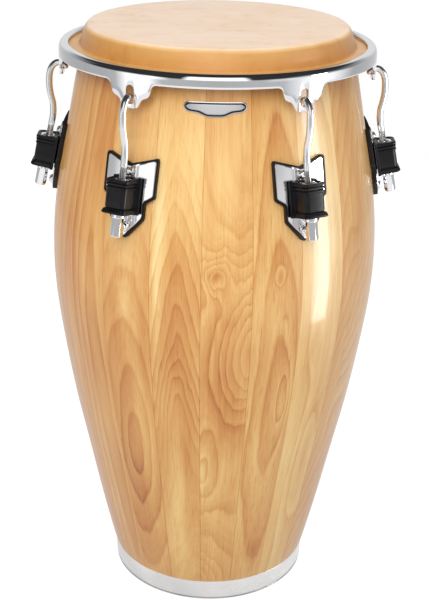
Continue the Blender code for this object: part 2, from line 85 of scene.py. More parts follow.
RIM_SHOULDER = [
    (0.1886, 0.6985), (0.18845, 0.7005), (0.188, 0.7029), (0.1871, 0.705), (0.1857, 0.7064),
    (0.1835, 0.7071), (0.18, 0.7072), (0.1779, 0.7069), (0.177, 0.7055), (0.1774, 0.704),
    (0.179, 0.7033), (0.1825, 0.7032), (0.1838, 0.702), (0.1846, 0.6995),
]
# One side of an ear: distance from its middle and the height of its lower edge
EAR_OUTLINE = in_metres([
    (0.0, 664.05), (6.0, 664.1), (7.6, 664.35), (8.8, 664.9), (9.8, 666.0), (11.6, 669.2),
    (13.6, 672.8), (16.5, 675.2), (20.5, 676.8), (23.2, 679.0), (24.8, 683.0), (26.2, 688.0),
    (28.5, 690.7), (32.0, 692.0),
])
SLOT_WIDTH = 10.5 * MM
SLOT_BOTTOM = 0.6686
SLOT_TOP = 0.6896
SLOT_ARC_STEPS = 14

# Shell
SHELL_SECTIONS = [
    (0.0283, 0.1283), (0.04, 0.1317), (0.1, 0.1456), (0.18, 0.1623), (0.26, 0.1788),
    (0.34, 0.1919), (0.4, 0.1993), (0.448, 0.2013), (0.5, 0.1987),
    (0.56, 0.1903), (0.62, 0.1782), (0.68, 0.1664), (0.7155, 0.158),
]
WALL = 11.2 * MM
STAVES = 20
SEEN_JOINTS_DEG = [-77.3, -57.5, -39.4, -21.3, -4.05, 12.8, 30.3, 48.5]
JOINT_GAP = 0.12 * MM
JOINT_ROUNDING = 0.35 * MM
STAVE_COLUMNS = 8
OUTSIDE_LEVELS = 70
INSIDE_LEVELS = 24

# Foot ring
FOOT_RADIUS = 0.1267
BAND_TOP_RADIUS = 0.1282
# Height of the band of painted shade at the foot ring's bottom: a dark line at its lower edge and
# in the groove over its bead
PAINTED_FOOT_SHADE_HEIGHT = 6 * MM
# Section: how far past the foot's radius, and height, in millimetres, from the turned-in foot
# over the bead and up the band, and back down inside
FOOT_SECTION = [
    (-11.5, 0.3), (-11.2, 0.0), (-1.0, 0.0), (-0.45, 0.15), (-0.05, 0.6), (0.0, 1.1), (-0.1, 1.7),
    (-0.45, 2.1), (-0.35, 2.5), (0.1, 3.0), (0.45, 9.0), (1.1, 20.0), (1.5, 27.5), (1.3, 28.0),
    (0.2, 28.0), (0.0, 27.7), (-1.5, 4.2), (-2.2, 3.0), (-3.2, 2.8), (-11.2, 2.8), (-11.5, 2.5),
]

# Lugs
LUG_AZIMUTHS_DEG = [30 + 60 * k for k in range(6)]
ROD_TILT_DEG = 12.0
ROD_ORIGIN_RADIUS = 0.2092
ROD_ORIGIN_HEIGHT = 0.565
ROD_RADIUS = 4 * MM
ROD_BOTTOM = -40.5 * MM
HOOK_PATH = [
    (0.0, 30.0), (0.0, 49.0), (2.2, 61.4), (4.7, 67.5), (7.6, 74.1), (10.5, 82.7), (12.3, 91.5),
    (13.0, 98.4), (12.3, 104.9), (9.7, 110.1), (5.6, 113.1), (0.3, 112.5), (-4.4, 110.5),
]
# How far the tip's levels stand past the path's end, in millimetres, and how full they are
HOOK_TIP = [(0.9, 0.93), (1.8, 0.8), (2.5, 0.62), (2.95, 0.38), (3.1, 0.12)]
HOOK_SIDES = 20
TAPER_STEPS = 14
TIP_SCALE = 0.8
THREAD_PITCH = 1.25 * MM
THREAD_DEPTH = 0.55 * MM
THREAD_TOP = 36 * MM

GASKET_TOP = in_metres([(0.0, 600.3), (30.2, 609.4), (32.0, 608.6), (33.0, 606.0)])
GASKET_BOTTOM = in_metres([
    (0.0, 518.5), (1.6, 518.8), (3.0, 519.8), (20.4, 539.2), (21.4, 541.0), (21.7, 543.6),
    (21.9, 556.8), (22.3, 558.5), (23.4, 559.7), (32.0, 565.2), (33.0, 567.2),
])
GASKET_BORDER = 2.3 * MM
SLANT = 1.08  # how much more of a border's height its slanted edges take
GASKET_BACK = 0.3 * MM
GASKET_FLOOR = 3.1 * MM
GASKET_RIM = 5.8 * MM
PLATE_BACK = 3.4 * MM
# Standoff of the plate's front at distances from its middle, where its channel is
PLATE_RELIEF = in_metres([
    (0.0, 7.0), (8.6, 7.0), (9.1, 6.88), (9.6, 6.5), (10.4, 5.9), (10.9, 5.52), (11.5, 5.4),
    (40.0, 5.4),
])
# Spacing of the columns and number of rows of the plates that are bent to the shell
PLATE_STEP = 1.2 * MM
PLATE_ROWS = 30
BOLT_HEIGHTS = [0.5307, 0.592]
STRIP_HEIGHTS = (0.603, 0.52)
STRIP_BACK = -15.6 * MM
STRIP_FRONT = -12.4 * MM
STRIP_HALF_WIDTH = 9 * MM

# Receiver, in millimetres in the rod's frame
RECEIVER_HALF_WIDTH = 13.0
RECEIVER_FRONT = 12.8
RECEIVER_CORNER = 5.2
RECEIVER_BACK = -11.3
FLANGE_HALF_WIDTH = 18.4
# Height along the rod and how far the section stands out there
RECEIVER_LEVELS = [
    (-15.0, 1.4), (-14.7, 2.1), (-14.0, 2.5), (-12.6, 2.4), (-11.2, 1.8), (-10.4, 1.5),
    (-9.9, 1.4), (-9.6, 0.9), (-9.3, -0.4), (-8.8, -0.6), (-8.1, -0.3), (-7.2, 0.0),
    (0.0, 0.0), (8.0, 0.0), (12.0, 0.0), (12.4, 0.5), (12.8, 0.9), (14.4, 0.95), (14.8, 0.5),
    (15.1, -0.2), (15.6, -0.3), (16.1, 0.0), (16.5, 0.8), (18.3, 1.3), (18.9, 0.9), (19.2, -0.3),
    (19.6, -0.3), (19.9, 0.9), (20.4, 1.5), (22.2, 1.5), (22.8, 0.9),
]
RECEIVER_TOP_RISE = 2.6
RECEIVER_RECESS = 1.8
RECEIVER_BORE = 4.8

# Nut and bolts, in millimetres
NUT_SIDES = 60
NUT_APOTHEM = 6.2
# Heights and radii of the nut: round collar, hexagon and round end
NUT_COLLAR = [
    (-16.6, 4.15), (-16.0, 4.9), (-16.0, 7.2), (-16.4, 7.7), (-19.2, 7.7), (-19.8, 7.2),
    (-20.0, 6.7),
]
NUT_HEXAGON = [(-20.3, 7.0), (-39.4, 7.0), (-40.4, 6.6)]
NUT_END = [(-41.2, 5.9), (-41.2, 4.9), (-40.6, 4.15)]
BOLT_SIDES = 36
# Standoffs and radii of a bolt: shank, washer and domed head
BOLT_SECTION = [
    (-18.6, 2.3), (-18.0, 2.9), (7.05, 2.9), (7.05, 6.1), (7.2, 6.3), (7.7, 6.3), (7.9, 6.1),
    (7.9, 5.15), (8.6, 5.1), (9.5, 4.85), (10.3, 4.3), (10.9, 3.5), (11.2, 2.7), (11.2, 2.3),
]
SOCKET_STANDOFFS = (11.0, 9.2)
SOCKET_APOTHEM = 1.9

BADGE_MIDDLE = -1.5 * MM
BADGE_LEVEL = 0.668
# One side of the badge's edges: distance from its middle and height
BADGE_TOP_EDGE = in_metres([
    (0.0, 673.5), (28.0, 673.4), (31.0, 673.0), (33.0, 671.9), (34.0, 670.2), (34.3, 668.6),
])
BADGE_BOTTOM_EDGE = in_metres([
    (0.0, 657.3), (8.0, 657.5), (11.5, 658.3), (16.0, 660.2), (20.0, 661.5), (25.0, 662.0),
    (30.0, 662.7), (32.6, 664.0), (34.0, 666.3), (34.3, 668.4),
])

# Studio
FLOOR_RADIUS = 2.0
FLOOR_SIDES = 96
FLOOR_GREY = (0.46, 0.46, 0.46, 1.0)
FLOOR_SEEN_GREY = (0.3, 0.3, 0.3, 1.0)  # by the camera and in reflections, with a glow
WHITE = (1.0, 1.0, 1.0, 1.0)
WORLD_LEVEL = 0.72  # on matt surfaces
# Levels of the walls that shiny surfaces see, at degrees away from the front
WALL_LEVELS = [
    (0, 0.46), (40, 0.5), (62, 0.54), (85, 0.45), (106, 0.42), (130, 0.47), (150, 0.58),
    (166, 0.72), (180, 0.78),
]
# Panels on them: left, right, low and high edge and softness in degrees, and how much brighter
PANELS = [
    (-23.0, 22.0, 5.0, 43.0, 5.0, 1.15), (-71.0, -44.0, -26.0, 10.0, 10.0, 0.62),
    (-50.0, -36.0, -5.0, 9.0, 6.0, 0.45), (58.0, 100.0, -27.0, 10.0, 22.0, 0.6),
    (36.0, 55.0, -5.0, 9.0, 8.0, 0.2),
]
LAMPS_FACE = (0, 0, 0.4)

# Camera
CAMERA_AT = (0.0, -1.52418, 1.01006)
CAMERA_PITCH_DEG = -22.7189
CAMERA_YAW_DEG = -0.0688
CAMERA_ROLL_DEG = 1.1254
FOCAL_PIXELS = 1280.89


def around(azimuth, radius, height):
    return Vector((radius * math.sin(azimuth), -radius * math.cos(azimuth), height))


def lerp(a, b, t):
    return a + (b - a) * t


def interpolate(points, x):
    for (x0, y0), (x1, y1) in zip(points, points[1:]):
        if x <= x1:
            return y0 + (y1 - y0) * (x - x0) / (x1 - x0)
    return points[-1][1]


def smooth_path(points, steps):
    """A smooth curve through points, with a few steps from each to the next."""
    points = [Vector(point) for point in points]
    path = []
    for k in range(len(points) - 1):
        a, b = points[max(k - 1, 0)], points[k]
        c, d = points[k + 1], points[min(k + 2, len(points) - 1)]
        for j in range(steps):
            t = j / steps
            path.append(
                b + (c - a) * (t / 2) + (a * 2 - b * 5 + c * 4 - d) * (t * t / 2)
                + (b * 3 - a - c * 3 + d) * (t ** 3 / 2)
            )
    return path + [points[-1]]


def smooth_line(points, steps):
    return [(p.x, p.y) for p in smooth_path(points, steps)]


def turns(count, first=0.0):
    """Angles of equal steps round a circle, the first one a part of a step on."""
    return [2 * math.pi * (k + first) / count for k in range(count)]


def hexagon_radius(apothem, angle):
    fold = (angle + math.pi / 6) % (math.pi / 3) - math.pi / 6
    return apothem / math.cos(fold)


def shell_radius(height):
    """Outer radius of the shell: a smooth curve through its sections."""
    points = SHELL_SECTIONS
    last = len(points) - 2
    k = next((i for i in range(last) if height < points[i + 1][0]), last)
    before, after = points[max(k - 1, 0)], points[min(k + 2, len(points) - 1)]
    (z0, r0), (z1, r1) = points[k], points[k + 1]
    step = z1 - z0
    slope0 = (r1 - before[1]) / (z1 - before[0])
    slope1 = (after[1] - r0) / (after[0] - z0)
    t = (height - z0) / step
    return (
        (2 * t**3 - 3 * t**2 + 1) * r0 + (t**3 - 2 * t**2 + t) * step * slope0
        + (3 * t**2 - 2 * t**3) * r1 + (t**3 - t**2) * step * slope1
    )


def on_shell(across, height, standoff):
    """A point over the shell in front: across it, at a height, and out along its normal."""
    radius = shell_radius(height)
    slope = (shell_radius(height + MM) - shell_radius(height - MM)) / (2 * MM)
    length = math.hypot(1.0, slope)
    return around(across / radius, radius + standoff / length, height - standoff * slope / length)


# Mesh building


def to_mesh(bm, smooth_deg):
    bmesh.ops.remove_doubles(bm, verts=bm.verts, dist=0.0005 * MM)
    bmesh.ops.recalc_face_normals(bm, faces=bm.faces)
    mesh = bpy.data.meshes.new("mesh")
    bm.to_mesh(mesh)
    bm.free()
    mesh.shade_smooth()
    mesh.set_sharp_from_angle(angle=math.radians(smooth_deg))
    return mesh


def skin(bm, loops, closed=False):
    """Join a row of equal point loops with quads, closed into a ring or capped at its ends."""
    rows = [[bm.verts.new(point) for point in loop] for loop in loops]
    count = len(rows[0])
    pairs = list(zip(rows, rows[1:]))
    if closed:
        pairs.append((rows[-1], rows[0]))
    for row, following in pairs:
        for k in range(count):
            nxt = (k + 1) % count
            bm.faces.new((row[k], row[nxt], following[nxt], following[k]))
    if not closed:
        bm.faces.new(rows[0])
        bm.faces.new(list(reversed(rows[-1])))
    return rows


def loft(loops, closed=False, smooth_deg=32):
    bm = bmesh.new()
    skin(bm, loops, closed)
    return to_mesh(bm, smooth_deg)


def loft_mm(loops, smooth_deg):
    """A closed loft of loops in millimetres."""
    return loft([[point * MM for point in loop] for loop in loops], True, smooth_deg)


def turned(profile, closed=True, smooth_deg=50):
    """Turn (radius, height) points about Z: a ring's section, or a line from axis to axis."""
    bm = bmesh.new()
    verts = [bm.verts.new((0.0, -radius, height)) for radius, height in profile]
    ends = list(zip(verts, verts[1:]))
    if closed:
        ends.append((verts[-1], verts[0]))
    edges = [bm.edges.new(pair) for pair in ends]
    bmesh.ops.spin(
        bm, geom=verts + edges, cent=(0, 0, 0), axis=(0, 0, 1),
        angle=2 * math.pi, steps=TURNED_STEPS, use_merge=True,
    )
    return to_mesh(bm, smooth_deg)


def linked(name, data):
    item = bpy.data.objects.new(name, data)
    bpy.context.scene.collection.objects.link(item)
    return item


def add(name, mesh, material, matrix=None):
    """A new object at the origin. Its mesh carries its place."""
    if matrix:
        mesh.transform(matrix)
    mesh.materials.clear()
    mesh.materials.append(material)
    return linked(name, mesh)


def modified(mesh, kind, **settings):
    """A mesh as one modifier leaves it."""
    item = linked("work", mesh)
    modifier = item.modifiers.new("work", kind)
    for name, value in settings.items():
        setattr(modifier, name, value)
    bpy.context.view_layer.update()
    graph = bpy.context.evaluated_depsgraph_get()
    result = bpy.data.meshes.new_from_object(item.evaluated_get(graph))
    bpy.data.objects.remove(item)
    return result


def cut(mesh, other):
    tool = linked("tool", other)
    mesh = modified(mesh, "BOOLEAN", object=tool, operation="DIFFERENCE", solver="EXACT")
    bpy.data.objects.remove(tool)
    return mesh


def bevelled(mesh, width, angle_deg=50):
    mesh = modified(
        mesh, "BEVEL", width=width, segments=2, limit_method="ANGLE",
        angle_limit=math.radians(angle_deg))
    mesh.shade_smooth()
    mesh.set_sharp_from_angle(angle=math.radians(50))
    return mesh


def half_outline(points):
    return [(-x, y) for x, y in points[:0:-1]] + points


def dense_breaks(points, step):
    """Columns at the outline's own points and between them."""
    xs = sorted({round(x, 7) for x, _ in points})
    found = set(xs)
    for a, b in zip(xs, xs[1:]):
        count = max(1, math.ceil((b - a) / step))
        found |= {lerp(a, b, k / count) for k in range(1, count)}
    return sorted({-x for x in found} | found)


def curved_plate(top, bottom, back, relief, step=PLATE_STEP, rows=PLATE_ROWS):
    """A plate bent to the shell. Relief is its front's standoff at distances from the middle."""
    breaks = dense_breaks(top + bottom + relief[1:-1], step)
    top, bottom = half_outline(top), half_outline(bottom)
    loops = []
    for across in breaks:
        low, high = interpolate(bottom, across), interpolate(top, across)
        heights = [lerp(low, high, k / rows) for k in range(rows + 1)]
        front = interpolate(relief, abs(across))
        loops.append(
            [on_shell(across, h, back) for h in heights]
            + [on_shell(across, h, front) for h in reversed(heights)]
        )
    return loft(loops)


# Materials


class Nodes:
    """A tree's nodes, made with short calls. Each call gives back an output socket."""

    def __init__(self, tree):
        self.nodes = tree.nodes
        self.links = tree.links

    def put(self, socket, value):
        if isinstance(value, bpy.types.NodeSocket):
            self.links.new(value, socket)
        else:
            socket.default_value = value

    def math(self, operation, a, b=0.0, c=0.0, clamp=False):
        node = self.nodes.new("ShaderNodeMath")
        node.operation = operation
        node.use_clamp = clamp
        for socket, value in zip(node.inputs, (a, b, c)):
            self.put(socket, value)
        return node.outputs[0]

    def scale(self, value, factor, plus=0.0):
        return self.math("MULTIPLY_ADD", value, factor, plus)

    def split(self, vector):
        node = self.nodes.new("ShaderNodeSeparateXYZ")
        self.put(node.inputs[0], vector)
        return node.outputs

    def ramp(self, value, stops):
        """Colours or grey levels at positions from 0 to 1."""
        node = self.nodes.new("ShaderNodeValToRGB")
        elements = node.color_ramp.elements
        while len(elements) < len(stops):
            elements.new(0.5)
        for element, (position, colour) in zip(elements, stops):
            element.position = position
            if isinstance(colour, (int, float)):
                colour = (colour, colour, colour)
            element.color = (*colour, 1.0)
        self.put(node.inputs[0], value)
        return node.outputs["Color"]


class Shader(Nodes):
    """A material and its nodes."""

    def __init__(self, name):
        self.material = bpy.data.materials.new(name)
        self.material.use_nodes = True
        super().__init__(self.material.node_tree)
        self.surface = self.nodes["Principled BSDF"]

    def coordinates(self):
        return self.nodes.new("ShaderNodeTexCoord").outputs["Object"]

    def vector(self, operation, a, b, c=(0.0, 0.0, 0.0)):
        node = self.nodes.new("ShaderNodeVectorMath")
        node.operation = operation
        for socket, value in zip(node.inputs, (a, b, c)):
            self.put(socket, value)
        return node.outputs["Value" if operation == "DOT_PRODUCT" else "Vector"]

    def noise(self, vector, stretch, detail, roughness, offset=(0.0, 0.0, 0.0)):
        """Fractal noise of a vector stretched along its axes: a number and a colour, 0 to 1."""
        node = self.nodes.new("ShaderNodeTexNoise")
        self.put(node.inputs["Vector"], self.vector("MULTIPLY_ADD", vector, stretch, offset))
        node.inputs["Scale"].default_value = 1.0
        node.inputs["Detail"].default_value = detail
        node.inputs["Roughness"].default_value = roughness
        return node.outputs["Fac"], node.outputs["Color"]

    def even_noise(self, vector, size, detail, roughness):
        return self.noise(vector, (size, size, size), detail, roughness)[0]

    def wander(self, colour, reach):
        """A noise's colour as a shift, up to reach either way."""
        return self.vector("MULTIPLY_ADD", colour, [2 * r for r in reach], [-r for r in reach])

    def mixed(self, factor, a, b, blend="MIX"):
        """Two colours mixed. They are this node's inputs 6 and 7."""
        node = self.nodes.new("ShaderNodeMix")
        node.data_type = "RGBA"
        node.blend_type = blend
        for index, value in ((0, factor), (6, a), (7, b)):
            self.put(node.inputs[index], value)
        return node.outputs[2]

    def bump(self, height, strength, distance):
        node = self.nodes.new("ShaderNodeBump")
        node.inputs["Strength"].default_value = strength
        node.inputs["Distance"].default_value = distance
        self.put(node.inputs["Height"], height)
        self.links.new(node.outputs["Normal"], self.surface.inputs["Normal"])

    def set(self, **values):
        """Set the surface's sockets: Base_Color=..., Roughness=..., and so on."""
        for name, value in values.items():
            self.put(self.surface.inputs[name.replace("_", " ")], value)


def srgb(red, green, blue):
    """A colour as it is seen, 0 to 255, to the linear values that a material takes."""
    return tuple(
        value / 12.92 if value <= 0.04045 else ((value + 0.055) / 1.055) ** 2.4
        for value in (red / 255, green / 255, blue / 255)
    )


# How dark the wood is through one ring
RING_SHADE = [
    (0.0, 0.3), (0.08, 0.08), (0.4, 0.28), (0.7, 0.5), (0.86, 0.76), (0.93, 1.0),
    (0.965, 0.85), (1.0, 0.3),
]
# From the palest wood to the darkest
WOOD_COLOURS = [
    (0.0, srgb(252, 222, 158)), (0.2, srgb(242, 199, 128)), (0.42, srgb(225, 168, 98)),
    (0.62, srgb(211, 146, 78)), (0.82, srgb(193, 120, 58)), (1.0, srgb(146, 82, 38)),
]
RINGS_PER_METRE_IN = 40.0
FINE_RINGS = 4.0  # in each ring
# Painted shade: how much darker the wood is made in a band just under the rim, where the rim
# shades it
PAINTED_SHADE_UNDER_RIM = 0.26


def wood_material(name, look, seed):
    """Lacquered wood. Rings are the whole-number levels of a field over the stave.

    The field is an eye, drawn out along the stave, that leans and climbs, with bumps on it.
    """
    s = Shader(name)
    attribute = s.nodes.new("ShaderNodeAttribute")
    attribute.attribute_name = "grain"
    grain = attribute.outputs["Vector"]
    offset = (seed * 3.7, seed * 1.9, seed * 0.7)
    _, sway = s.noise(grain, (18.0, 5.0, 16.0), 2.0, 0.5, offset)
    _, ripple = s.noise(grain, (110.0, 18.0, 60.0), 3.0, 0.55, offset)
    place = s.vector("ADD", grain, s.wander(sway, (0.008, 0.04, 0.0)))
    place = s.vector("ADD", place, s.wander(ripple, (0.0018, 0.01, 0.0)))

    u0, v0, ring_u, ring_v, lean, climb, core = look["eye"]
    away = s.split(s.vector("SUBTRACT", place, (u0, v0, 0.0)))
    x = s.scale(away[1], -lean / ring_u, s.scale(away[0], 1 / ring_u))
    squares = s.math("MULTIPLY_ADD", x, x, core * core)
    if ring_v:
        y = s.scale(away[1], 1 / ring_v)
        squares = s.math("MULTIPLY_ADD", y, y, squares)
    field = s.scale(away[1], climb, s.math("SQRT", squares))
    field = s.scale(away[2], RINGS_PER_METRE_IN, field)
    for u, v, wide, high, amount in look.get("bumps", ()):
        field = s.scale(spot(s, place, u, v, wide, high), amount, field)

    ring = s.ramp(s.math("FRACT", field), RING_SHADE)
    fade, _ = s.noise(grain, (14.0, 5.0, 9.0), 1.0, 0.5, (offset[1], offset[0], 4.0))
    fade = s.ramp(fade, [(0.3, 0.38), (0.62, 1.0)])
    if "band" in look:
        v, high = look["band"]
        fade = s.math("MULTIPLY", fade, s.scale(level(s, grain, v, high), 0.8, 0.2))
    shade = s.math("MULTIPLY_ADD", ring, s.scale(fade, look["contrast"]), look["tone"])
    fine = s.math("SINE", s.scale(field, 2 * math.pi * FINE_RINGS))
    shade = s.scale(fine, 0.014, shade)
    broad, _ = s.noise(grain, (26.0, 4.0, 22.0), 3.0, 0.6, (offset[2], offset[1], 9.0))
    shade = s.scale(broad, 0.62, s.math("ADD", shade, -0.3))
    fibre, _ = s.noise(grain, (520.0, 12.0, 300.0), 3.0, 0.65, offset)
    shade = s.scale(fibre, 0.3, s.math("ADD", shade, -0.15))
    pore, _ = s.noise(grain, (1000.0, 46.0, 500.0), 1.0, 0.5, offset)
    pore = s.ramp(pore, [(0.6, 0.0), (0.7, 1.0)])
    shade = s.scale(pore, look.get("pores", 0.12), shade)
    # Painted light: a paler band round the lugs' height, where light from above falls on the
    # shell's upper flank; a look's "light" sets how much paler
    shade = s.scale(level(s, grain, 0.575, 0.085), look.get("light", -0.06), shade)
    # Painted shade: the wood darkened in a band just under the rim
    shade = s.scale(level(s, grain, 0.705, 0.03), PAINTED_SHADE_UNDER_RIM, shade)
    for u, v, wide, high, amount in look.get("patches", ()):
        shade = s.scale(spot(s, place, u, v, wide, high), amount, shade)

    s.set(
        Base_Color=s.ramp(shade, WOOD_COLOURS), Roughness=0.36, IOR=1.45,
        Coat_Weight=0.45, Coat_Roughness=0.09, Coat_IOR=1.5)
    s.bump(fibre, 0.05, 0.0002)
    return s.material


def spot(s, place, u, v, wide, high):
    """A soft spot on the stave, 1 in its middle."""
    away = s.vector("SUBTRACT", place, (u, v, 0.0))
    away = s.vector("MULTIPLY", away, (1 / wide, 1 / high, 0.0))
    return s.math("EXPONENT", s.math("MULTIPLY", s.vector("DOT_PRODUCT", away, away), -1.0))


def level(s, place, v, high):
    """A soft band across the whole stave, at a height."""
    return spot(s, place, 0.0, v, 0.2, high)


def chrome_material(name, colour, rough=0.035, smudge=0.05):
    s = Shader(name)
    place = s.coordinates()
    smear, _ = s.noise(place, (60.0, 60.0, 25.0), 3.0, 0.6)
    grit = s.even_noise(place, 900.0, 2.0, 0.5)
    tint = s.ramp(smear, [(0.3, tuple(0.97 * c for c in colour)), (0.7, colour)])
    roughness = s.scale(grit, 0.02, s.scale(smear, smudge, rough - smudge / 3))
    s.set(Base_Color=tint, Metallic=1.0, Roughness=roughness)
    s.bump(smear, 0.04, 0.0004)
    return s.material


def satin_material():
    """Satin metal, brushed round the ring, with painted shade in the groove over the bead at its
    bottom and a painted shadow line along its lower edge.
    """
    s = Shader("satin_steel_looks")
    place = s.coordinates()
    brushed, _ = s.noise(place, (14.0, 14.0, 2600.0), 3.0, 0.6)
    cloud, _ = s.noise(place, (18.0, 18.0, 30.0), 2.0, 0.5)
    tint = s.ramp(cloud, [(0.3, srgb(226, 227, 228)), (0.7, srgb(244, 242, 241))])
    # Painted shade: darker at the lower edge and in the groove over the bead
    painted_foot_shade = s.ramp(s.scale(s.split(place)[2], 1 / PAINTED_FOOT_SHADE_HEIGHT), [
        (0.0, 0.45), (0.2, 0.75), (0.34, 0.4), (0.5, 0.92), (0.62, 1.0)])
    tint = s.mixed(1.0, tint, painted_foot_shade, "MULTIPLY")
    roughness = s.scale(brushed, 0.12, s.scale(cloud, 0.1, 0.16))
    s.set(Base_Color=tint, Metallic=1.0, Roughness=roughness)
    s.bump(brushed, 0.12, 0.0002)
    return s.material


def steel_material():
    s = Shader("zinc_steel_looks")
    cloud = s.even_noise(s.coordinates(), 120.0, 4.0, 0.6)
    tint = s.ramp(cloud, [(0.3, srgb(150, 152, 156)), (0.7, srgb(190, 191, 192))])
    s.set(Base_Color=tint, Metallic=1.0, Roughness=s.scale(cloud, 0.2, 0.25))
    s.bump(cloud, 0.1, 0.0003)
    return s.material


def rubber_material(name, dark, light, rough, grain_size=1400.0, strength=0.25):
    s = Shader(name)
    place = s.coordinates()
    cloud = s.even_noise(place, 70.0, 3.0, 0.6)
    pebble = s.even_noise(place, grain_size, 2.0, 0.5)
    tint = s.ramp(cloud, [(0.3, dark), (0.75, light)])
    s.set(Base_Color=tint, Roughness=s.scale(cloud, 0.16, rough - 0.08), IOR=1.34)
    s.bump(pebble, strength, 0.0002)
    return s.material


# The collar's colours, from its foot up to the flat
COLLAR_FOOT = 0.7012
COLLAR_SPAN = 0.028
COLLAR_RADIUS = 0.16
COLLAR_FADE = [(0.7225, 1.0), (0.7262, 0.0)]  # heights where the painted shade on its sides ends
COLLAR_COLOURS = [
    (0.0, srgb(222, 174, 112)), (0.06, srgb(228, 180, 116)), (0.16, srgb(212, 150, 76)),
    (0.45, srgb(215, 156, 84)), (0.78, srgb(217, 164, 96)), (0.88, srgb(233, 192, 136)),
    (0.93, srgb(242, 214, 184)), (1.0, srgb(240, 211, 186)),
]


def hide_material():
    """Rawhide: cream on the flat head, golden down the collar, with painted shade making it deeper
    at its left and right sides.
    """
    s = Shader("rawhide_looks")
    place = s.coordinates()
    parts = s.split(place)
    cloud = s.even_noise(place, 9.0, 4.0, 0.55)
    fleck = s.even_noise(place, 70.0, 3.0, 0.6)
    vein, _ = s.noise(place, (16.0, 45.0, 22.0), 5.0, 0.65, (3.0, 1.0, 0.0))
    height = s.scale(cloud, 0.0012, s.math("ADD", parts[2], -0.0006))
    collar = s.ramp(s.scale(height, 1 / COLLAR_SPAN, -COLLAR_FOOT / COLLAR_SPAN), COLLAR_COLOURS)
    warm = s.ramp(cloud, [(0.34, (0.965, 0.9, 0.82)), (0.56, 1.0)])
    collar = s.mixed(1.0, collar, warm, "MULTIPLY")
    # Painted shade: the collar darker towards its left and right sides, where it turns away from
    # the light
    aside = s.math("ABSOLUTE", s.scale(parts[0], 1 / COLLAR_RADIUS))
    painted_side_shade = s.ramp(aside, [(0.3, 1.0), (0.95, (0.93, 0.86, 0.66))])
    low = s.ramp(parts[2], COLLAR_FADE)
    collar = s.mixed(s.split(low)[0], collar, s.mixed(1.0, collar, painted_side_shade, "MULTIPLY"))
    shade = s.scale(fleck, 0.45, s.scale(vein, 0.55))
    tint = s.ramp(shade, [(0.34, (0.84, 0.77, 0.68)), (0.47, (0.97, 0.95, 0.92)), (0.6, 1.0)])
    s.set(
        Base_Color=s.mixed(0.9, collar, tint, "MULTIPLY"), Roughness=s.scale(fleck, 0.18, 0.34),
        Subsurface_Weight=0.08, Subsurface_Scale=0.003, Subsurface_Radius=(1.0, 0.6, 0.35),
        Coat_Weight=0.5, Coat_Roughness=0.22)
    s.bump(s.scale(vein, 0.6, s.scale(fleck, 0.4)), 0.1, 0.0004)
    return s.material


